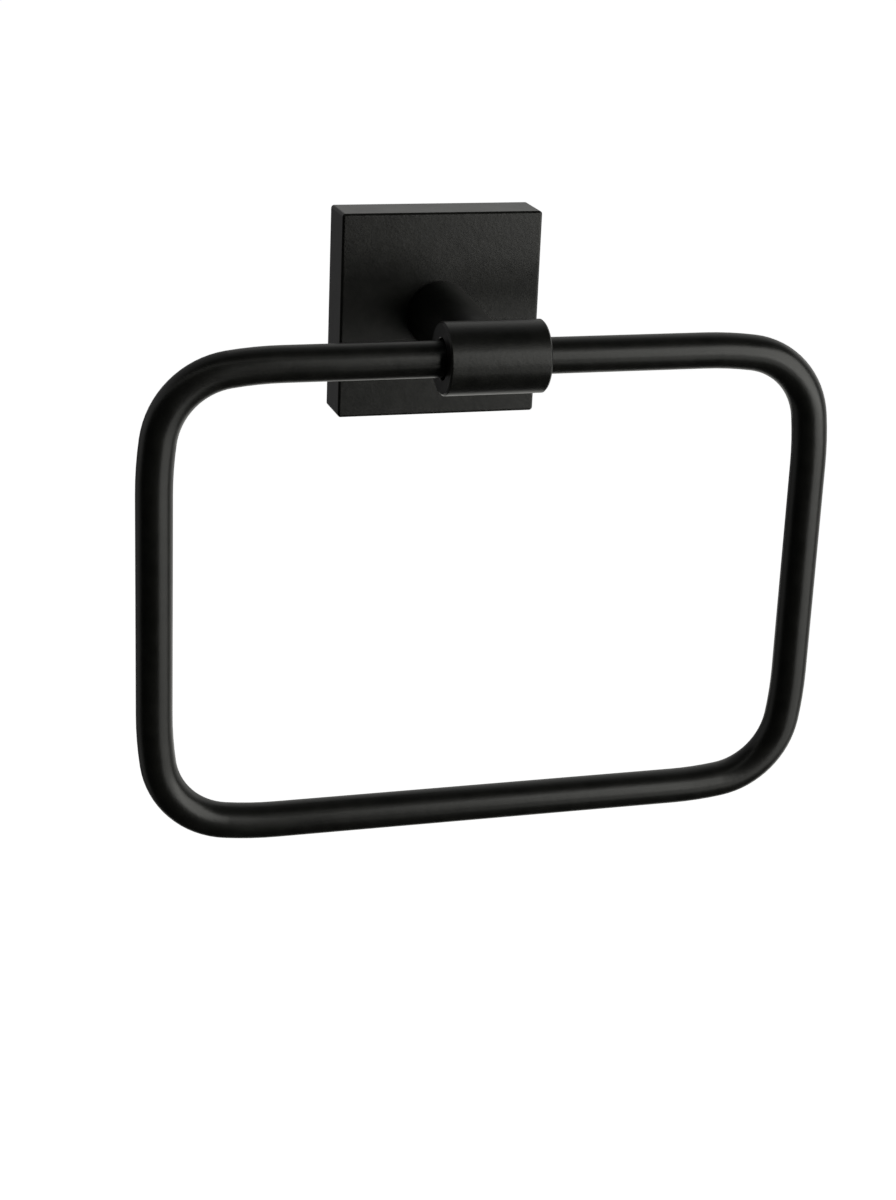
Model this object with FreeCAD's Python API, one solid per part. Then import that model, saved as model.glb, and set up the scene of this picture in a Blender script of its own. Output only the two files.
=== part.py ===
import FreeCAD, Part
import math
import os
from FreeCAD import Vector

# A wall-mounted towel ring: a square wall plate, a tapered round post, a short barrel across the
# post's end, and a rounded rectangle of round bar that swings in the barrel.
# Millimetres. X runs right along the barrel, Y runs into the wall, Z is up. The origin is the
# centre of the wall plate's back, on the wall.

# Driving sizes of the wall plate
PLATE_SIDE = 50.8
PLATE_DEPTH = 12.1
PLATE_FACE = 2.6
PLATE_WALL = 2.2
PLATE_EDGE_CHAMFER = 0.5
PLATE_CORNER_ROUND = 0.8
PLATE_INSIDE_ROUND = 1.2
SEAT_MARGIN = 0.5
SEAT_RISE = 1.6

# Driving sizes of the post
POST_BASE_DIAMETER = 17.0
POST_TIP_DIAMETER = 13.5
SPIGOT_DIAMETER = 8.5
SPIGOT_LENGTH = 1.3

# Driving sizes of the barrel
BARREL_REACH = 55.4
BARREL_DIAMETER = 17.2
BARREL_LENGTH = 24.4
WEB_WALL = 1.5
BARREL_EDGE_CHAMFER = 0.4
MOUTH_CHAMFER = 0.25

# Driving sizes of the ring, along the centre of its bar
BAR_DIAMETER = 8.6
RING_WIDTH = 161.2
RING_HEIGHT = 112.8
BEND_RADIUS = 18.9
EASE_RADIUS = 90.0
EASE_ANGLE = 8.0
RING_SHIFT = 1.8
BAR_END_CHAMFER = 0.5

# Driving sizes of the liners
LINER_WALL = 0.5
LINER_RECESS = 2.0

# Driving sizes of the fasteners
POST_SCREW_DIAMETER = 4.0
POST_SCREW_BITE = 10.1
POST_SCREW_POINT = 0.6
SPRING_WASHER_THICKNESS = 1.0
SPRING_WASHER_BAND = 1.55
SPRING_WASHER_GAP = 0.6
SPRING_WASHER_SLANT = 20.0
PIN_DIAMETER = 2.0
PIN_CHAMFER = 0.2
PIN_SHY = 0.7
SET_SCREW_DIAMETER = 5.0
SET_SCREW_LENGTH = 6.0
SET_SCREW_SOCKET = 2.5
SET_SCREW_FROM_WALL = 5.2
WALL_SCREW_DIAMETER = 4.2
WALL_SCREW_NECK = 3.6
WALL_SCREW_NECK_PAST_WALL = 0.3
WALL_SCREW_LENGTH = 32.0
WALL_SCREW_POINT = 4.5
WALL_SCREW_TIP_RADIUS = 0.3
WALL_SCREW_EDGE = 6.0

# Driving sizes of the bracket
BRACKET_SIDE_GAP = 3.2
BRACKET_TOP_GAP = 6.2
BRACKET_THICKNESS = 1.6
BRACKET_REACH = 7.0
BRACKET_FLARE = 15.0
BRACKET_BEND = 1.0
SLOT_TRAVEL = 3.0
HOOK_WIDTH = 5.0
HOOK_INSET = 9.0
HOOK_FROM_WALL = 2.0
SET_BOSS_WALL = 3.0
SET_BOSS_RISE = 3.0

# Fits and clearances
LINER_RUNNING_FIT = 0.06
LINER_BORE_FIT = 0.01
SCREW_CLEARANCE = 0.25
THREAD_FIT = 0.02
SEAT_FIT = 0.02
SADDLE_FIT = 0.03
END_PLAY = 0.1
HOOK_FIT = 0.05
TAP_RUNOUT = 1.6

# Directions
RIGHT = Vector(1, 0, 0)
OUTWARD = Vector(0, -1, 0)
INWARD = Vector(0, 1, 0)
UP = Vector(0, 0, 1)
DOWN = Vector(0, 0, -1)

# Places worked out from the sizes
PLATE_FRONT = -PLATE_DEPTH
CAVITY_SIDE = PLATE_SIDE - 2 * PLATE_WALL
CAVITY_FLOOR = PLATE_FRONT + PLATE_FACE
SEAT_FACE = CAVITY_FLOOR + SEAT_RISE
SEAT_DIAMETER = POST_BASE_DIAMETER + 2 * SEAT_MARGIN
WASHER_FACE = SEAT_FACE + SPRING_WASHER_THICKNESS
SCREW_HOLE_RADIUS = POST_SCREW_DIAMETER / 2 + SCREW_CLEARANCE
PIN_OFFSET = (SPIGOT_DIAMETER + POST_BASE_DIAMETER) / 4
PIN_REACH = PLATE_FACE + SEAT_RISE - PIN_SHY
BRACKET_WIDTH = CAVITY_SIDE - 2 * BRACKET_SIDE_GAP
BRACKET_HEIGHT = CAVITY_SIDE - 2 * BRACKET_TOP_GAP
WALL_SCREW_SPACING = BRACKET_WIDTH - 2 * WALL_SCREW_EDGE
HOOK_SPACING = BRACKET_WIDTH - 2 * HOOK_INSET
SET_BOSS_WIDTH = SET_SCREW_DIAMETER + 2 * SET_BOSS_WALL
BARREL_RADIUS = BARREL_DIAMETER / 2
BARREL_AXIS = -BARREL_REACH
BARREL_WEB = POST_SCREW_DIAMETER + 2 * WEB_WALL
BAR_RADIUS = BAR_DIAMETER / 2
LINER_INSIDE = BAR_RADIUS + LINER_RUNNING_FIT
LINER_OUTSIDE = LINER_INSIDE + LINER_WALL
BORE_RADIUS = LINER_OUTSIDE + LINER_BORE_FIT
BAR_END_GAP = BARREL_WEB / 2 + RING_SHIFT + END_PLAY
FLARE_SLOPE = math.tan(math.radians(BRACKET_FLARE))
POST_SCREW_TIP = BARREL_AXIS + BARREL_RADIUS - POST_SCREW_BITE
POST_SCREW_LENGTH = WASHER_FACE - POST_SCREW_TIP


def cylinder(radius, length, start, direction):
    return Part.makeCylinder(radius, length, start, direction)


def centred_box(width, depth, height, centre):
    corner = centre - Vector(width / 2, depth / 2, height / 2)
    return Part.makeBox(width, depth, height, corner)


def revolved(profile, start, direction):
    """Turn a profile of (radius, distance) points about an axis from start along direction."""
    points = [Vector(radius, 0, distance) for radius, distance in profile]
    wire = Part.makePolygon(points + points[:1])
    solid = Part.Face(wire).revolve(Vector(0, 0, 0), UP, 360)
    solid.Placement = FreeCAD.Placement(start, FreeCAD.Rotation(UP, direction))
    return solid


def edges_where(shape, test):
    return [edge for edge in shape.Edges if test(edge)]


def is_circle(edge):
    return edge.Curve.TypeId == "Part::GeomCircle"


def lies_at_y(edge, y):
    return all(abs(vertex.Point.y - y) < 1e-4 for vertex in edge.Vertexes)


def runs_along(edge, direction):
    if edge.Curve.TypeId != "Part::GeomLine":
        return False
    return abs(edge.Curve.Direction.dot(direction)) > 0.999


def cross_recess(head_radius, depth, start, direction):
    """The cross-shaped driver recess cut into a screw's head from its top, narrower at the bottom."""
    arm = head_radius * 0.55
    foot = head_radius * 0.2
    wing = head_radius * 0.24
    side = [Vector(-arm, 0, 0), Vector(arm, 0, 0), Vector(foot, 0, depth), Vector(-foot, 0, depth)]
    blade = Part.Face(Part.makePolygon(side + side[:1])).extrude(Vector(0, wing, 0))
    blade.translate(Vector(0, -wing / 2, 0))
    crossing = blade.copy()
    crossing.rotate(Vector(), UP, 90)
    recess = blade.fuse(crossing)
    recess.Placement = FreeCAD.Placement(start, FreeCAD.Rotation(UP, direction))
    return recess


def pan_head(diameter):
    """The profile of a pan head, from the centre of its top out to the edge of its underside."""
    radius = diameter * 0.95
    height = diameter * 0.62
    return [(0, -height), (radius * 0.74, -height), (radius, -height * 0.5), (radius, 0)]


def pan_head_screw(diameter, shank, under_head, direction):
    """A pan-head screw whose head stands behind under_head and whose shank runs along direction."""
    head = pan_head(diameter)
    height = -head[0][1]
    screw = revolved(head + shank, under_head, direction)
    top = under_head - direction * height
    return screw.cut(cross_recess(diameter * 0.95, height * 0.62, top, direction))


def hex_socket(across_flats, depth, start, direction):
    radius = across_flats / math.sqrt(3)
    corners = [
        Vector(radius * math.cos(math.radians(60 * i)), radius * math.sin(math.radians(60 * i)), 0)
        for i in range(6)
    ]
    prism = Part.Face(Part.makePolygon(corners + corners[:1])).extrude(UP * depth)
    prism.Placement = FreeCAD.Placement(start, FreeCAD.Rotation(UP, direction))
    return prism


def flare_height(y):
    """Height of the bracket's sloping outer face above its centre, at a place in front of the wall."""
    return BRACKET_HEIGHT / 2 - y * FLARE_SLOPE


def make_wall_plate():
    half = PLATE_SIDE / 2
    plate = Part.makeBox(PLATE_SIDE, PLATE_DEPTH, PLATE_SIDE, Vector(-half, PLATE_FRONT, -half))
    plate = plate.makeFillet(PLATE_CORNER_ROUND, edges_where(plate, lambda e: runs_along(e, INWARD)))
    plate = plate.makeChamfer(PLATE_EDGE_CHAMFER, edges_where(plate, lambda e: lies_at_y(e, PLATE_FRONT)))
    cavity_depth = -CAVITY_FLOOR
    cavity = Part.makeBox(
        CAVITY_SIDE, cavity_depth, CAVITY_SIDE, Vector(-CAVITY_SIDE / 2, CAVITY_FLOOR, -CAVITY_SIDE / 2)
    )
    cavity = cavity.makeFillet(PLATE_INSIDE_ROUND, edges_where(cavity, lambda e: runs_along(e, INWARD)))
    plate = plate.cut(cavity)
    plate = plate.fuse(cylinder(SEAT_DIAMETER / 2, SEAT_RISE + 1, Vector(0, SEAT_FACE, 0), OUTWARD))
    plate = plate.fuse(make_set_screw_boss())
    for side in (-1, 1):
        plate = plate.fuse(make_hook(side * HOOK_SPACING / 2))
    plate = plate.removeSplitter()
    spigot_recess = cylinder(
        SPIGOT_DIAMETER / 2 + SEAT_FIT, SPIGOT_LENGTH + SEAT_FIT, Vector(0, PLATE_FRONT, 0), INWARD
    )
    screw_hole = cylinder(SCREW_HOLE_RADIUS, PLATE_DEPTH, Vector(0, PLATE_FRONT, 0), INWARD)
    pin_start = Vector(PIN_OFFSET, PLATE_FRONT, 0)
    pin_hole = cylinder(PIN_DIAMETER / 2 + SEAT_FIT, PLATE_DEPTH, pin_start, INWARD)
    set_screw_hole = cylinder(
        SET_SCREW_DIAMETER / 2 + THREAD_FIT,
        PLATE_WALL + SET_BOSS_RISE + 1,
        Vector(0, -SET_SCREW_FROM_WALL, -half),
        UP,
    )
    return plate.cut(spigot_recess).cut(screw_hole).cut(pin_hole).cut(set_screw_hole)


def make_set_screw_boss():
    """The thick pad on the plate's lower wall that carries the set screw's thread."""
    low = -PLATE_SIDE / 2 + PLATE_WALL / 2
    high = -CAVITY_SIDE / 2 + SET_BOSS_RISE
    back = -SET_SCREW_FROM_WALL + SET_SCREW_DIAMETER / 2 + 1.0
    front = CAVITY_FLOOR - PLATE_FACE / 2
    return Part.makeBox(
        SET_BOSS_WIDTH, back - front, high - low, Vector(-SET_BOSS_WIDTH / 2, front, low)
    )


def make_hook(x):
    """A rib under the plate's upper wall whose sloping face hooks over the bracket's upper flange."""
    front = CAVITY_FLOOR - PLATE_FACE / 2
    back = -HOOK_FROM_WALL
    top = PLATE_SIDE / 2 - PLATE_WALL / 2
    profile = [
        Vector(x - HOOK_WIDTH / 2, front, top),
        Vector(x - HOOK_WIDTH / 2, front, flare_height(front) + HOOK_FIT),
        Vector(x - HOOK_WIDTH / 2, back, flare_height(back) + HOOK_FIT),
        Vector(x - HOOK_WIDTH / 2, back, top),
    ]
    return Part.Face(Part.makePolygon(profile + profile[:1])).extrude(RIGHT * HOOK_WIDTH)


def make_barrel():
    start = Vector(-BARREL_LENGTH / 2, BARREL_AXIS, 0)
    barrel = cylinder(BARREL_RADIUS, BARREL_LENGTH, start, RIGHT)
    barrel = barrel.makeChamfer(BARREL_EDGE_CHAMFER, edges_where(barrel, is_circle))
    bore_depth = (BARREL_LENGTH - BARREL_WEB) / 2
    for side in (-1, 1):
        mouth = Vector(side * BARREL_LENGTH / 2, BARREL_AXIS, 0)
        bore = [
            (0, 0),
            (BORE_RADIUS + MOUTH_CHAMFER, 0),
            (BORE_RADIUS, MOUTH_CHAMFER),
            (BORE_RADIUS, bore_depth),
            (0, bore_depth),
        ]
        barrel = barrel.cut(revolved(bore, mouth, RIGHT * -side))
    tap_end = POST_SCREW_TIP - TAP_RUNOUT
    tapped_hole = cylinder(
        POST_SCREW_DIAMETER / 2 + THREAD_FIT, BARREL_REACH, Vector(0, tap_end, 0), INWARD
    )
    return barrel.cut(tapped_hole)


def make_post():
    """The tapered post: a turned cone with a spigot at its base and a saddle for the barrel."""
    base_radius = POST_BASE_DIAMETER / 2
    tip_radius = POST_TIP_DIAMETER / 2
    taper_length = BARREL_REACH - BARREL_RADIUS - PLATE_DEPTH
    full_length = BARREL_REACH - PLATE_DEPTH
    slope = (base_radius - tip_radius) / taper_length
    profile = [
        (0, -SPIGOT_LENGTH),
        (SPIGOT_DIAMETER / 2, -SPIGOT_LENGTH),
        (SPIGOT_DIAMETER / 2, 0),
        (base_radius, 0),
        (base_radius - slope * full_length, full_length),
        (0, full_length),
    ]
    post = revolved(profile, Vector(0, PLATE_FRONT, 0), OUTWARD)
    saddle = cylinder(
        BARREL_RADIUS + SADDLE_FIT, BARREL_LENGTH * 2, Vector(-BARREL_LENGTH, BARREL_AXIS, 0), RIGHT
    )
    screw_start = Vector(0, PLATE_FRONT + SPIGOT_LENGTH, 0)
    screw_hole = cylinder(SCREW_HOLE_RADIUS, BARREL_REACH, screw_start, OUTWARD)
    pin_start = Vector(PIN_OFFSET, PLATE_FRONT, 0)
    pin_hole = cylinder(PIN_DIAMETER / 2 + SEAT_FIT, PIN_REACH + SEAT_FIT, pin_start, OUTWARD)
    return post.cut(saddle).cut(screw_hole).cut(pin_hole)


def ring_path():
    """The centre of the ring's bar, from its left end in the barrel round to its right end."""
    place = Vector(RING_SHIFT - BAR_END_GAP, BARREL_AXIS, 0)
    heading = 180.0
    edges = []

    def bearing(angle):
        return Vector(math.cos(math.radians(angle)), 0, math.sin(math.radians(angle)))

    def straight(length):
        nonlocal place
        end = place + bearing(heading) * length
        edges.append(Part.makeLine(place, end))
        place = end

    def bend(radius, angle):
        nonlocal place, heading
        centre = place + bearing(heading + 90) * radius
        middle = centre + bearing(heading - 90 + angle / 2) * radius
        end = centre + bearing(heading - 90 + angle) * radius
        edges.append(Part.Arc(place, middle, end).toShape())
        place = end
        heading += angle

    def corner():
        bend(EASE_RADIUS, EASE_ANGLE)
        bend(BEND_RADIUS, 90 - 2 * EASE_ANGLE)
        bend(EASE_RADIUS, EASE_ANGLE)

    ease = math.radians(EASE_ANGLE)
    corner_reach = EASE_RADIUS * (1 + math.sin(ease) - math.cos(ease))
    corner_reach += BEND_RADIUS * (math.cos(ease) - math.sin(ease))
    top_half = RING_WIDTH / 2 - corner_reach - BAR_END_GAP
    straight(top_half)
    corner()
    straight(RING_HEIGHT - 2 * corner_reach)
    corner()
    straight(RING_WIDTH - 2 * corner_reach)
    corner()
    straight(RING_HEIGHT - 2 * corner_reach)
    corner()
    straight(top_half)
    return Part.Wire(edges)


def make_ring():
    path = ring_path()
    start = Vector(RING_SHIFT - BAR_END_GAP, BARREL_AXIS, 0)
    section = Part.Wire([Part.makeCircle(BAR_RADIUS, start, RIGHT * -1)])
    bar = path.makePipeShell([section], True, False)
    ends = edges_where(bar, is_bar_end)
    return bar.makeChamfer(BAR_END_CHAMFER, ends)


def is_bar_end(edge):
    if not is_circle(edge) or abs(edge.Curve.Axis.x) < 0.999:
        return False
    centre = edge.Curve.Center
    return abs(centre.z) < 1e-4 and abs(abs(centre.x - RING_SHIFT) - BAR_END_GAP) < 1e-4


def make_liner(side):
    inner_end = side * BARREL_WEB / 2
    length = (BARREL_LENGTH - BARREL_WEB) / 2 - LINER_RECESS
    start = Vector(inner_end, BARREL_AXIS, 0)
    outside = cylinder(LINER_OUTSIDE, length, start, RIGHT * side)
    return outside.cut(cylinder(LINER_INSIDE, length, start, RIGHT * side))


def make_post_screw():
    radius = POST_SCREW_DIAMETER / 2
    length = POST_SCREW_LENGTH
    shank = [
        (radius, 0),
        (radius, length - POST_SCREW_POINT),
        (radius - POST_SCREW_POINT, length),
        (0, length),
    ]
    return pan_head_screw(POST_SCREW_DIAMETER, shank, Vector(0, WASHER_FACE, 0), OUTWARD)


def make_spring_washer():
    outside_radius = SCREW_HOLE_RADIUS + SPRING_WASHER_BAND
    start = Vector(0, WASHER_FACE, 0)
    washer = cylinder(outside_radius, SPRING_WASHER_THICKNESS, start, OUTWARD)
    washer = washer.cut(cylinder(SCREW_HOLE_RADIUS, SPRING_WASHER_THICKNESS, start, OUTWARD))
    slit = centred_box(SPRING_WASHER_GAP, SPRING_WASHER_THICKNESS * 4, outside_radius * 2, Vector())
    middle = start + Vector(0, -SPRING_WASHER_THICKNESS / 2, outside_radius)
    slit.Placement = FreeCAD.Placement(middle, FreeCAD.Rotation(UP, SPRING_WASHER_SLANT))
    return washer.cut(slit)


def make_locating_pin():
    start = Vector(PIN_OFFSET, PLATE_FRONT + PIN_REACH, 0)
    pin = cylinder(PIN_DIAMETER / 2, 2 * PIN_REACH, start, OUTWARD)
    return pin.makeChamfer(PIN_CHAMFER, edges_where(pin, is_circle))


def make_set_screw():
    """The socket set screw: flush below the plate's edge, its cone against the bracket's flange."""
    radius = SET_SCREW_DIAMETER / 2
    tip_radius = radius * 0.3
    cone = radius * 0.5
    tip = -flare_height(-SET_SCREW_FROM_WALL - tip_radius) - HOOK_FIT
    start = Vector(0, -SET_SCREW_FROM_WALL, tip)
    profile = [
        (0, 0),
        (tip_radius, 0),
        (radius, cone),
        (radius, SET_SCREW_LENGTH - 0.3),
        (radius - 0.3, SET_SCREW_LENGTH),
        (0, SET_SCREW_LENGTH),
    ]
    screw = revolved(profile, start, DOWN)
    bottom = start + DOWN * SET_SCREW_LENGTH
    return screw.cut(hex_socket(SET_SCREW_SOCKET, SET_SCREW_LENGTH * 0.42, bottom, UP))


def make_bracket():
    """The pressed bracket: a flat back with upper and lower flanges that flare outward."""
    reach = BRACKET_REACH
    skin = BRACKET_THICKNESS
    flare = math.radians(BRACKET_FLARE)
    inner = skin / math.cos(flare)
    root = BRACKET_HEIGHT / 2
    inner_root = root - inner + skin * FLARE_SLOPE
    inner_tip = root + reach * FLARE_SLOPE - inner
    upper = [(0, root), (-reach, root + reach * FLARE_SLOPE), (-reach, inner_tip), (-skin, inner_root)]
    lower = [(y, -z) for y, z in reversed(upper)]
    left = -BRACKET_WIDTH / 2
    points = [Vector(left, y, z) for y, z in upper + lower]
    bracket = Part.Face(Part.makePolygon(points + points[:1])).extrude(RIGHT * BRACKET_WIDTH)

    def at_fold(edge, y, z):
        point = edge.Vertexes[0].Point
        return runs_along(edge, RIGHT) and abs(point.y - y) < 1e-4 and abs(abs(point.z) - z) < 1e-4

    inner_folds = edges_where(bracket, lambda e: at_fold(e, -skin, inner_root))
    bracket = bracket.makeFillet(BRACKET_BEND, inner_folds)
    outer_folds = edges_where(bracket, lambda e: at_fold(e, 0, root))
    bracket = bracket.makeFillet(BRACKET_BEND + skin, outer_folds)
    for side in (-1, 1):
        bracket = bracket.cut(make_bracket_slot(side * WALL_SCREW_SPACING / 2))
    return bracket


def make_bracket_slot(x):
    """A slot across the bracket that lets a wall screw be set to one side or the other."""
    radius = WALL_SCREW_DIAMETER / 2 + SCREW_CLEARANCE
    depth = BRACKET_THICKNESS * 3
    y = -BRACKET_THICKNESS * 2
    slot = centred_box(SLOT_TRAVEL, depth, 2 * radius, Vector(x, y + depth / 2, 0))
    for side in (-1, 1):
        slot = slot.fuse(cylinder(radius, depth, Vector(x + side * SLOT_TRAVEL / 2, y, 0), INWARD))
    return slot


def make_wall_screw(side):
    """A wall screw: a plain neck in the bracket's slot, and a thread from just inside the wall."""
    radius = WALL_SCREW_DIAMETER / 2
    neck_radius = WALL_SCREW_NECK / 2
    neck_length = BRACKET_THICKNESS + WALL_SCREW_NECK_PAST_WALL
    shank = [
        (neck_radius, 0),
        (neck_radius, neck_length),
        (radius, neck_length),
        (radius, WALL_SCREW_LENGTH - WALL_SCREW_POINT),
        (WALL_SCREW_TIP_RADIUS, WALL_SCREW_LENGTH),
        (0, WALL_SCREW_LENGTH),
    ]
    under_head = Vector(side * WALL_SCREW_SPACING / 2, -BRACKET_THICKNESS, 0)
    return pan_head_screw(WALL_SCREW_DIAMETER, shank, under_head, INWARD)


def main():
    os.makedirs("parts", exist_ok=True)
    pieces = {
        "wall_plate": make_wall_plate(),
        "post": make_post(),
        "barrel": make_barrel(),
        "ring": make_ring(),
        "liner_left": make_liner(-1),
        "liner_right": make_liner(1),
        "post_screw": make_post_screw(),
        "spring_washer": make_spring_washer(),
        "locating_pin": make_locating_pin(),
        "set_screw": make_set_screw(),
        "wall_bracket": make_bracket(),
        "wall_screw_left": make_wall_screw(-1),
        "wall_screw_right": make_wall_screw(1),
    }
    for name, shape in pieces.items():
        shape.exportStep(f"parts/{name}.step")


main()
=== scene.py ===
"""A wall-mounted towel ring in matte black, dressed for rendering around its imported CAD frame.

Metres. X runs right along the barrel, Y runs into the wall, Z is up.
"""

import math

import bmesh
import bpy
from mathutils import Matrix, Vector


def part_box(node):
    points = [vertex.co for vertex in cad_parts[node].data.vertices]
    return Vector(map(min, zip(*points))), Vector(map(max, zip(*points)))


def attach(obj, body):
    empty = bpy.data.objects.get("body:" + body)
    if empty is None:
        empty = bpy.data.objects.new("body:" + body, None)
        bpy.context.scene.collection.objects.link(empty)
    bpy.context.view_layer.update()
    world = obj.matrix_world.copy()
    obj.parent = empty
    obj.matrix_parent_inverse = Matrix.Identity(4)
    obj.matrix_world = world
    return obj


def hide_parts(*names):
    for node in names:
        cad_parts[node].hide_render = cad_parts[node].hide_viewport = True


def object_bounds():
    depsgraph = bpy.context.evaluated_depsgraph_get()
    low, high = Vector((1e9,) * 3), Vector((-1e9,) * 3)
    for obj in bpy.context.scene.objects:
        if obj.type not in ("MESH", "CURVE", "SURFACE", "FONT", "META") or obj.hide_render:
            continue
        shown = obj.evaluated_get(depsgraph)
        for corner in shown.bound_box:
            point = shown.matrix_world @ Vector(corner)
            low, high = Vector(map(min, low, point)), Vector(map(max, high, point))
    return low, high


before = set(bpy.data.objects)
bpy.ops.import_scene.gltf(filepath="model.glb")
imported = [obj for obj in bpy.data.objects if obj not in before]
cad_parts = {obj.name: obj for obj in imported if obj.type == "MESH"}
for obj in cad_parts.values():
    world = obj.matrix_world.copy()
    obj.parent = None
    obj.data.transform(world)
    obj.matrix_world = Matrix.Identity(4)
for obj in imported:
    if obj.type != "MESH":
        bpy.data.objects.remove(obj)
cad_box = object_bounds()

MM = 0.001

# Camera, at the photograph's viewing angle
CAMERA_PLACE = Vector((-0.16882, -0.58049, 0.13635))
CAMERA_AZIMUTH = math.radians(-17.015)
CAMERA_ELEVATION = math.radians(19.6)
CAMERA_ROLL = math.radians(2.399)
CAMERA_SENSOR = 36.0
CAMERA_LENS = 73.27
CAMERA_NEAR = 0.01
CAMERA_FAR = 100.0

# Powder coat. Here and below, a scale is in features per metre, a middle is the useful part of a noise
# between 0 and 1, and edge cosines say how far a rounded normal has to turn before an edge shows.
COAT_DEEP = (0.0042, 0.0043, 0.0038, 1)
COAT_LIFTED = (0.0077, 0.0078, 0.0070, 1)
# Lighter colour along edges, on the coat and the nylon: partly rubbed wear, partly a painted edge highlight.
EDGE_WEAR_AND_HIGHLIGHT = (0.05, 0.05, 0.048, 1)
COAT_SPECULAR = 0.36
COAT_ROUGHNESS = 0.31
COAT_CLOUD_SWING = 0.01
COAT_MOTTLE_SWING = 0.012
COAT_CLOUD_SCALE = 90
COAT_MOTTLE_SCALE = 260
COAT_PEEL_SCALE = 420
# Patches and strength of the lighter edges, partly rubbed wear and partly a painted edge highlight.
COAT_EDGE_PATCH_SCALE = 420
COAT_SPECK_SCALE = 1300
COAT_PEEL_DEPTH = 0.018 * MM
COAT_SPECK_DEPTH = 0.015 * MM
COAT_MOTTLE_MIDDLE = (0.3, 0.7)
COAT_EDGE_PATCH_MIDDLE = (0.5, 0.7)
COAT_EDGE_WEAR_AND_HIGHLIGHT_MOST = 0.35
COAT_EDGE_RADIUS = 0.3 * MM
COAT_EDGE_COSINES = (0.9, 0.995)

# Nylon
NYLON_DEEP = (0.008, 0.008, 0.008, 1)
NYLON_LIFTED = (0.014, 0.014, 0.014, 1)
NYLON_ROUGHNESS = (0.5, 0.62)
NYLON_CLOUD_SCALE = 300
NYLON_GRAIN_SCALE = 4000
NYLON_GRAIN_DEPTH = 0.004 * MM
NYLON_EDGE_RADIUS = 0.12 * MM
# How strongly the nylon's edges take a painted highlight.
NYLON_EDGE_HIGHLIGHT_MOST = 0.3

# Zinc plate and black oxide
ZINC_BRIGHT = (0.66, 0.67, 0.68, 1)
ZINC_DULL = (0.55, 0.56, 0.56, 1)
ZINC_METALLIC = 1.0
ZINC_ROUGHNESS = (0.36, 0.46)
OXIDE_DEEP = (0.02, 0.02, 0.022, 1)
OXIDE_LIFTED = (0.05, 0.048, 0.045, 1)
OXIDE_METALLIC = 0.8
OXIDE_ROUGHNESS = (0.38, 0.5)
METAL_CLOUD_SCALE = 150
METAL_CLOUD_MIDDLE = (0.2, 0.8)
METAL_GRAIN_SCALE = 2600
METAL_GRAIN_DEPTH = 0.003 * MM
METAL_GRAIN_SWING = 0.04
METAL_EDGE_RADIUS = 0.2 * MM
# How strongly the metal's edges take a painted highlight.
METAL_EDGE_HIGHLIGHT_MOST = 0.7

# What the materials share
NOISE_MIDDLE = (0.35, 0.65)
EDGE_COSINES = (0.9, 0.99)
BEVEL_SAMPLES = 4

# Sockets of the Mix node for colours, which share their names with its sockets for numbers
MIX_FACTOR = 0
MIX_FIRST = 6
MIX_SECOND = 7
MIX_RESULT = 2

# Wall screws. A turn of the thread is given as (share of the pitch, share of the thread's height).
THREAD_PROFILE = [(0.0, 0.0), (0.46, 0.0), (0.62, 1.0), (0.68, 1.0), (0.84, 0.0)]
THREAD_PITCH = 1.8 * MM
THREAD_CORE_RADIUS = 1.45 * MM
THREAD_CREST_RADIUS = 2.1 * MM
THREAD_FADE = 0.75 * THREAD_PITCH
THREAD_POINT = 5.5 * MM
THREAD_POINT_CURVE = 0.6
THREAD_SIDES = 40
THREAD_SPARE_TURNS = 2
NECK_RADIUS = 1.8 * MM
NECK_END = 0.3 * MM
NECK_JOIN = 0.1 * MM
NECK_TOLERANCE = 0.01 * MM
CAD_WELD = 0.001 * MM
THREAD_WELD = 0.002 * MM
SHARP_ANGLE = math.radians(35)

# Lamps: name, azimuth, elevation, width and height as the object sees them, all in degrees, and light.
# The light is what a lamp gives a surface that faces it, where pi makes a colour render as it is written.
LAMPS = [
    ("key", 46, 12, 56, 46, 2.8),
    ("key_low", 50, -19, 56, 38, 0.95),
    ("side", 116, -10, 36, 70, 0.45),
    ("back_right", 148, 14, 50, 80, 0.45),
    ("back_left", -118, -8, 32, 90, 0.22),
    ("under_back", 158, -38, 60, 32, 0.45),
    ("top_strip", -30, 58, 120, 8, 0.4),
]
LAMP_AIM = Vector((0, -0.05, -0.03))
LAMP_DISTANCE = 1.3
LAMP_COLOUR = (1.0, 1.0, 0.95)

# Floor and surroundings, and how bright a glossy surface sees them
WHITE = (1, 1, 1, 1)
FLOOR_DROP = 1.2
FLOOR_SIZE = 40.0
FLOOR_CELLS = 8
FLOOR_FADE = 8.0
FLOOR_COLOUR = (0.8, 0.8, 0.8, 1)
FLOOR_IN_GLOSS = 0.11
BACKDROP_IN_GLOSS = 0.22
BACKDROP_RAMP = 0.35
AMBIENT = 0.012


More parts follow.
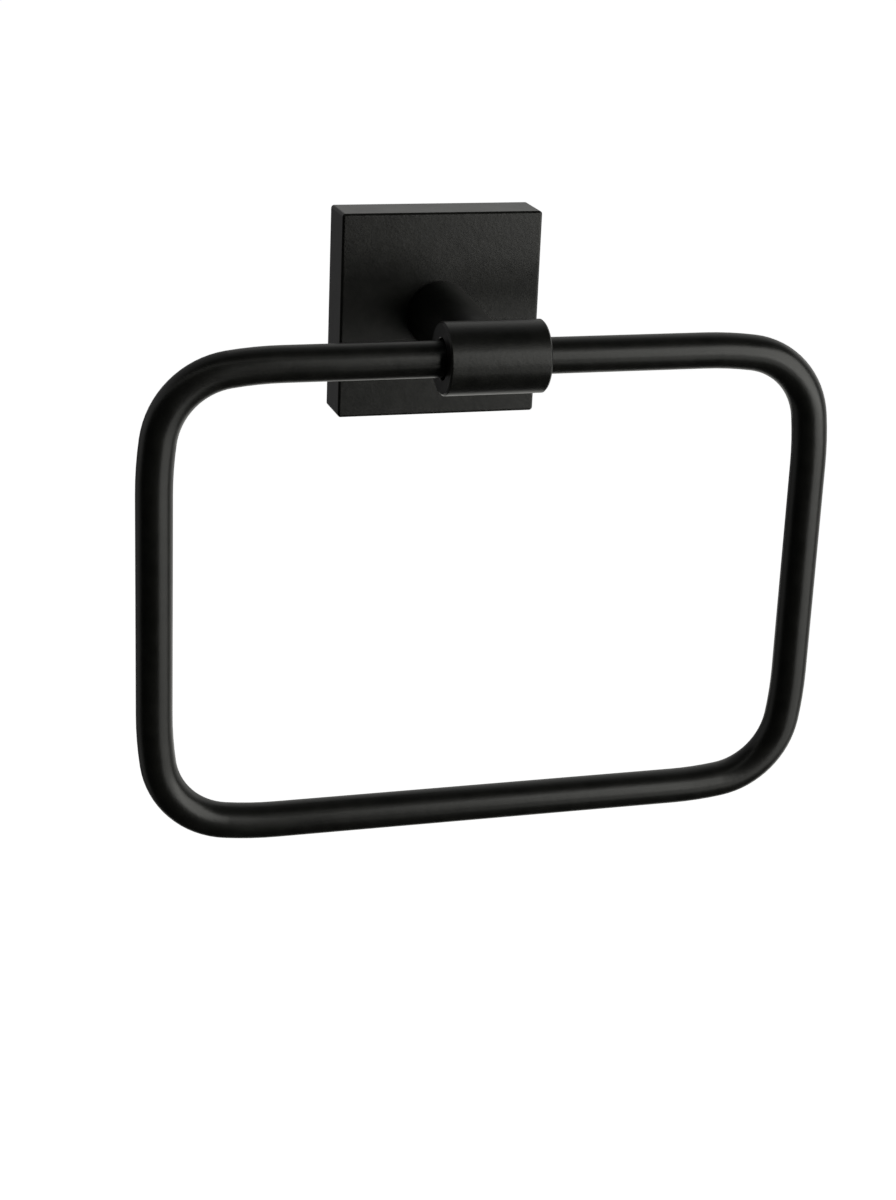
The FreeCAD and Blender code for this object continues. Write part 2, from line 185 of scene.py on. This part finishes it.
class Nodes:
    """Turns on the nodes of a new material or world, adds to them and joins them."""

    def __init__(self, owner):
        owner.use_nodes = True
        self.tree = owner.node_tree

    def fill(self, node, values):
        """Set a node's inputs, each to a constant, or linked to another node's output."""
        for key, value in values.items():
            if isinstance(value, bpy.types.NodeSocket):
                self.tree.links.new(value, node.inputs[key])
            else:
                node.inputs[key].default_value = value

    def fill_first(self, name, values):
        """Fill a node that the tree came with."""
        self.fill(self.tree.nodes[name], values)

    def add(self, kind, values=None, **settings):
        node = self.tree.nodes.new(kind)
        for name, setting in settings.items():
            setattr(node, name, setting)
        self.fill(node, values or {})
        return node

    def coordinates(self, kind="Object"):
        """Object coordinates stay on the piece and are in metres."""
        return self.add("ShaderNodeTexCoord").outputs[kind]

    def compute(self, operation, *values):
        return self.add("ShaderNodeMath", dict(enumerate(values)), operation=operation).outputs[0]

    def noise(self, place, scale, detail, roughness=0.5):
        values = {"Vector": place, "Scale": scale, "Detail": detail, "Roughness": roughness}
        return self.add("ShaderNodeTexNoise", values).outputs["Fac"]

    def spread(self, value, low, high, middle=NOISE_MIDDLE):
        """Map a value's useful middle onto low to high."""
        start, end = middle
        values = {"Value": value, "From Min": start, "From Max": end, "To Min": low, "To Max": high}
        return self.add("ShaderNodeMapRange", values).outputs["Result"]

    def blend(self, factor, first, second):
        """Mix two colours, each a fixed colour or a socket."""
        values = {MIX_FACTOR: factor, MIX_FIRST: first, MIX_SECOND: second}
        return self.add("ShaderNodeMix", values, data_type="RGBA").outputs[MIX_RESULT]

    def rounded_normal(self, radius):
        """The normal that the surface would have if its edges were rounded to this radius."""
        return self.add("ShaderNodeBevel", {"Radius": radius}, samples=BEVEL_SAMPLES).outputs[0]

    def edge_mask(self, rounded, most=1.0, cosines=EDGE_COSINES):
        """Up to most along the edges and 0 on the flats, by how far a rounded normal leaves the true one."""
        true = self.add("ShaderNodeNewGeometry").outputs["Normal"]
        turn = self.add("ShaderNodeVectorMath", {0: rounded, 1: true}, operation="DOT_PRODUCT")
        return self.spread(turn.outputs["Value"], most, 0.0, cosines)

    def grain(self, layers, normal):
        """A bump from several noises, each (height socket, depth in metres), over the given normal."""
        for height, depth in layers:
            values = {"Strength": 1.0, "Distance": depth, "Height": height, "Normal": normal}
            normal = self.add("ShaderNodeBump", values).outputs[0]
        return normal


def make_powder_coat(name):
    """Satin black powder coat: a faint orange peel and fine grain, lighter in patches along the edges, partly
    rubbed wear and partly a painted edge highlight.
    """
    material = bpy.data.materials.new(name)
    nodes = Nodes(material)
    place = nodes.coordinates()
    cloud = nodes.noise(place, COAT_CLOUD_SCALE, detail=3)
    mottle = nodes.noise(place, COAT_MOTTLE_SCALE, detail=2)
    peel = nodes.noise(place, COAT_PEEL_SCALE, detail=1)
    speck = nodes.noise(place, COAT_SPECK_SCALE, detail=1)
    edge_patches = nodes.noise(place, COAT_EDGE_PATCH_SCALE, detail=4, roughness=0.65)
    shade = nodes.blend(nodes.spread(mottle, 0, 1, COAT_MOTTLE_MIDDLE), COAT_DEEP, COAT_LIFTED)
    rounded = nodes.rounded_normal(COAT_EDGE_RADIUS)
    edge = nodes.edge_mask(rounded, cosines=COAT_EDGE_COSINES)
    # Lighter edges in patches: partly rubbed wear, partly a painted edge highlight.
    wear_and_edge_highlight = nodes.compute("MULTIPLY", edge, nodes.spread(edge_patches, 0, COAT_EDGE_WEAR_AND_HIGHLIGHT_MOST, COAT_EDGE_PATCH_MIDDLE))
    wide_swing = nodes.spread(cloud, COAT_ROUGHNESS - COAT_CLOUD_SWING, COAT_ROUGHNESS + COAT_CLOUD_SWING)
    fine_swing = nodes.spread(mottle, -COAT_MOTTLE_SWING, COAT_MOTTLE_SWING, COAT_MOTTLE_MIDDLE)
    nodes.fill_first("Principled BSDF", {
        "Base Color": nodes.blend(wear_and_edge_highlight, shade, EDGE_WEAR_AND_HIGHLIGHT),
        "Roughness": nodes.compute("ADD", wide_swing, fine_swing),
        "Normal": nodes.grain([(peel, COAT_PEEL_DEPTH), (speck, COAT_SPECK_DEPTH)], rounded),
        "Specular IOR Level": COAT_SPECULAR,
    })
    return material


def make_nylon(name):
    """Black moulded nylon, duller than the coat, with a painted highlight along its edges."""
    material = bpy.data.materials.new(name)
    nodes = Nodes(material)
    place = nodes.coordinates()
    cloud = nodes.noise(place, NYLON_CLOUD_SCALE, detail=3)
    fine = nodes.noise(place, NYLON_GRAIN_SCALE, detail=2)
    shade = nodes.blend(nodes.spread(cloud, 0, 1), NYLON_DEEP, NYLON_LIFTED)
    rounded = nodes.rounded_normal(NYLON_EDGE_RADIUS)
    nodes.fill_first("Principled BSDF", {
        # Painted edge highlight: lighter along every edge.
        "Base Color": nodes.blend(nodes.edge_mask(rounded, NYLON_EDGE_HIGHLIGHT_MOST), shade, EDGE_WEAR_AND_HIGHLIGHT),
        "Roughness": nodes.spread(cloud, *NYLON_ROUGHNESS),
        "Normal": nodes.grain([(fine, NYLON_GRAIN_DEPTH)], rounded),
    })
    return material


def make_metal(name, dull, bright, metallic, roughness):
    """Plated or blackened steel: cloudy patches and a fine grain, with a painted highlight brighter along the
    edges.
    """
    material = bpy.data.materials.new(name)
    nodes = Nodes(material)
    place = nodes.coordinates()
    cloud = nodes.noise(place, METAL_CLOUD_SCALE, detail=2)
    fine = nodes.noise(place, METAL_GRAIN_SCALE, detail=3)
    shade = nodes.blend(nodes.spread(cloud, 0, 1, METAL_CLOUD_MIDDLE), dull, bright)
    rounded = nodes.rounded_normal(METAL_EDGE_RADIUS)
    fine_swing = nodes.spread(fine, -METAL_GRAIN_SWING, METAL_GRAIN_SWING)
    nodes.fill_first("Principled BSDF", {
        # Painted edge highlight: brighter along every edge.
        "Base Color": nodes.blend(nodes.edge_mask(rounded, METAL_EDGE_HIGHLIGHT_MOST), shade, bright),
        "Roughness": nodes.compute("ADD", nodes.spread(cloud, *roughness), fine_swing),
        "Normal": nodes.grain([(fine, METAL_GRAIN_DEPTH)], rounded),
        "Metallic": metallic,
    })
    return material


def dress(material, *node_names):
    for name in node_names:
        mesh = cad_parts[name].data
        mesh.materials.clear()
        mesh.materials.append(material)


def add_object(name, data):
    added = bpy.data.objects.new(name, data)
    bpy.context.collection.objects.link(added)
    return added


def add_mesh_object(name, mesh, material):
    """Turn a finished bmesh into an object and free it."""
    data = bpy.data.meshes.new(name)
    mesh.to_mesh(data)
    mesh.free()
    data.materials.append(material)
    return add_object(name, data)


def smoothstep(value):
    value = max(0.0, min(1.0, value))
    return value * value * (3 - 2 * value)


def thread_radius(past_start, before_tip, height):
    """The thread's radius at a share of its height: it grows out of the neck and narrows to the point."""
    opening = smoothstep(past_start / THREAD_FADE)
    closing = min(1.0, before_tip / THREAD_POINT)
    core = NECK_RADIUS + (THREAD_CORE_RADIUS - NECK_RADIUS) * opening
    core = core * closing
    crest = THREAD_CREST_RADIUS * closing ** THREAD_POINT_CURVE
    return core + max(crest - core, 0.0) * height * opening


def add_thread(mesh, axis, start, tip):
    """Add a helical thread from start to tip, both in Y, round an axis along Y.

    The helix begins a turn early and runs past the tip. What lies outside is held at the start or the tip,
    so that each end is a flat ring or a point.
    """
    rows = []
    for turn in range(math.ceil((tip - start) / THREAD_PITCH) + THREAD_SPARE_TURNS):
        for share, height in THREAD_PROFILE:
            row = []
            for side in range(THREAD_SIDES):
                y = start + (turn + share + side / THREAD_SIDES - 1) * THREAD_PITCH
                y = min(max(y, start), tip)
                radius = thread_radius(y - start, tip - y, height)
                angle = 2 * math.pi * side / THREAD_SIDES
                place = axis + Vector((radius * math.cos(angle), y, radius * math.sin(angle)))
                row.append(mesh.verts.new(place))
            rows.append(row)

    def corner(index, side):
        """The vertex at a side past the last is the first one of the row a whole turn on."""
        if side < THREAD_SIDES:
            return rows[index][side]
        return rows[index + len(THREAD_PROFILE)][0]

    for index in range(len(rows) - len(THREAD_PROFILE) - 1):
        for side in range(THREAD_SIDES):
            corners = [corner(index, side), corner(index, side + 1)]
            corners += [corner(index + 1, side + 1), corner(index + 1, side)]
            mesh.faces.new(corners)


def make_threaded_screw(node, material):
    """A wall screw with its real thread: the CAD screw's head and neck, then a coarse thread to its point."""
    low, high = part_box(node)
    axis = Vector(((low.x + high.x) / 2, 0, 0))
    mesh = bmesh.new()
    mesh.from_mesh(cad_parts[node].data)
    bmesh.ops.remove_doubles(mesh, verts=mesh.verts, dist=CAD_WELD)
    shank_start = NECK_END - NECK_TOLERANCE
    shank = [face for face in mesh.faces if all(vertex.co.y > shank_start for vertex in face.verts)]
    bmesh.ops.delete(mesh, geom=shank, context="FACES")
    add_thread(mesh, axis, NECK_END + NECK_JOIN, high.y)
    bmesh.ops.remove_doubles(mesh, verts=mesh.verts, dist=THREAD_WELD)
    bmesh.ops.bridge_loops(mesh, edges=[edge for edge in mesh.edges if edge.is_boundary])
    bmesh.ops.recalc_face_normals(mesh, faces=mesh.faces)
    for face in mesh.faces:
        face.smooth = True
    for edge in mesh.edges:
        edge.smooth = len(edge.link_faces) == 2 and edge.calc_face_angle(0) < SHARP_ANGLE
    piece = add_mesh_object(node + "_threaded", mesh, material)
    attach(piece, "mount")
    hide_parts(node)


def make_camera():
    data = bpy.data.cameras.new("camera")
    data.sensor_fit = "VERTICAL"
    data.sensor_height = CAMERA_SENSOR
    data.lens = CAMERA_LENS
    data.clip_start = CAMERA_NEAR
    data.clip_end = CAMERA_FAR
    turn = Matrix.Rotation(CAMERA_AZIMUTH, 4, "Z")
    tilt = Matrix.Rotation(math.pi / 2 - CAMERA_ELEVATION, 4, "X")
    roll = Matrix.Rotation(CAMERA_ROLL, 4, "Z")
    camera = add_object("camera", data)
    camera.matrix_world = Matrix.Translation(CAMERA_PLACE) @ turn @ tilt @ roll
    bpy.context.scene.camera = camera


def direction(azimuth, elevation):
    """A unit vector: azimuth 0 is out of the wall, towards the viewer, and 90 is to the right."""
    azimuth = math.radians(azimuth)
    elevation = math.radians(elevation)
    level = math.cos(elevation)
    return Vector((math.sin(azimuth) * level, -math.cos(azimuth) * level, math.sin(elevation)))


def lamp_side(angle):
    """How long a lamp's side is that the object sees under this angle."""
    return 2 * LAMP_DISTANCE * math.tan(math.radians(angle / 2))


def make_softbox(name, azimuth, elevation, wide, tall, light):
    """A rectangular lamp aimed at the object. The numbers are those of LAMPS."""
    data = bpy.data.lights.new(name, "AREA")
    data.shape = "RECTANGLE"
    data.size = lamp_side(wide)
    data.size_y = lamp_side(tall)
    data.color = LAMP_COLOUR
    data.energy = light * math.pi * LAMP_DISTANCE ** 2
    towards = direction(azimuth, elevation)
    lamp = add_object(name, data)
    lamp.location = LAMP_AIM + towards * LAMP_DISTANCE
    lamp.rotation_euler = towards.to_track_quat("Z", "Y").to_euler()
    lamp.visible_camera = False


def part_behind(nodes, place, scale):
    """How far a place or a direction lies towards the back of the room."""
    parts = nodes.add("ShaderNodeSeparateXYZ", {0: place})
    return nodes.compute("MULTIPLY", parts.outputs["Y"], scale)


def backdrop_strength(nodes, behind, in_gloss):
    """1 for camera and transmission rays. Others see a dim room, and gloss also the pale backdrop behind."""
    path = nodes.add("ShaderNodeLightPath")
    straight = nodes.compute("MAXIMUM", path.outputs["Is Camera Ray"], path.outputs["Is Transmission Ray"])
    ramp = nodes.spread(behind, 0.0, in_gloss, (0.0, BACKDROP_RAMP))
    gloss = nodes.compute("MULTIPLY_ADD", ramp, path.outputs["Is Glossy Ray"], AMBIENT)
    return nodes.compute("MAXIMUM", straight, gloss)


def make_world():
    world = bpy.data.worlds.new("studio")
    bpy.context.scene.world = world
    nodes = Nodes(world)
    behind = part_behind(nodes, nodes.coordinates("Generated"), 1.0)
    strength = backdrop_strength(nodes, behind, BACKDROP_IN_GLOSS)
    nodes.fill_first("Background", {"Color": WHITE, "Strength": strength})


def make_floor_material():
    """Pale and matte where light falls on it, and the backdrop's glow where it is seen or mirrored."""
    material = bpy.data.materials.new("floor")
    nodes = Nodes(material)
    nodes.tree.nodes.remove(nodes.tree.nodes["Principled BSDF"])
    behind = part_behind(nodes, nodes.coordinates(), 1 / FLOOR_FADE)
    strength = backdrop_strength(nodes, behind, FLOOR_IN_GLOSS)
    glow = nodes.add("ShaderNodeEmission", {"Strength": strength}).outputs[0]
    matte = nodes.add("ShaderNodeBsdfDiffuse", {"Color": FLOOR_COLOUR}).outputs[0]
    both = nodes.add("ShaderNodeAddShader", {0: matte, 1: glow}).outputs[0]
    mirrored = nodes.add("ShaderNodeLightPath").outputs["Is Glossy Ray"]
    seen = nodes.add("ShaderNodeMixShader", {0: mirrored, 1: both, 2: glow}).outputs[0]
    nodes.fill_first("Material Output", {"Surface": seen})
    return material


def make_floor():
    mesh = bmesh.new()
    bmesh.ops.create_grid(mesh, x_segments=FLOOR_CELLS, y_segments=FLOOR_CELLS, size=FLOOR_SIZE / 2)
    floor = add_mesh_object("floor", mesh, make_floor_material())
    floor.location = (0, 0, cad_box[0].z - FLOOR_DROP)


make_camera()

plate_coat = make_powder_coat("powder_coat")
ring_coat = make_powder_coat("powder_coat_ring")
nylon = make_nylon("black_nylon")
zinc = make_metal("zinc_plate", ZINC_DULL, ZINC_BRIGHT, ZINC_METALLIC, ZINC_ROUGHNESS)
oxide = make_metal("black_oxide", OXIDE_DEEP, OXIDE_LIFTED, OXIDE_METALLIC, OXIDE_ROUGHNESS)

dress(plate_coat, "wall_plate", "post", "barrel")
dress(ring_coat, "ring")
dress(nylon, "liner_left", "liner_right")
dress(zinc, "post_screw", "spring_washer", "locating_pin", "wall_bracket")
dress(oxide, "set_screw")
for side in ("left", "right"):
    make_threaded_screw("wall_screw_" + side, zinc)

for lamp in LAMPS:
    make_softbox(*lamp)
make_world()
make_floor()

bpy.context.scene.view_settings.view_transform = "Standard"
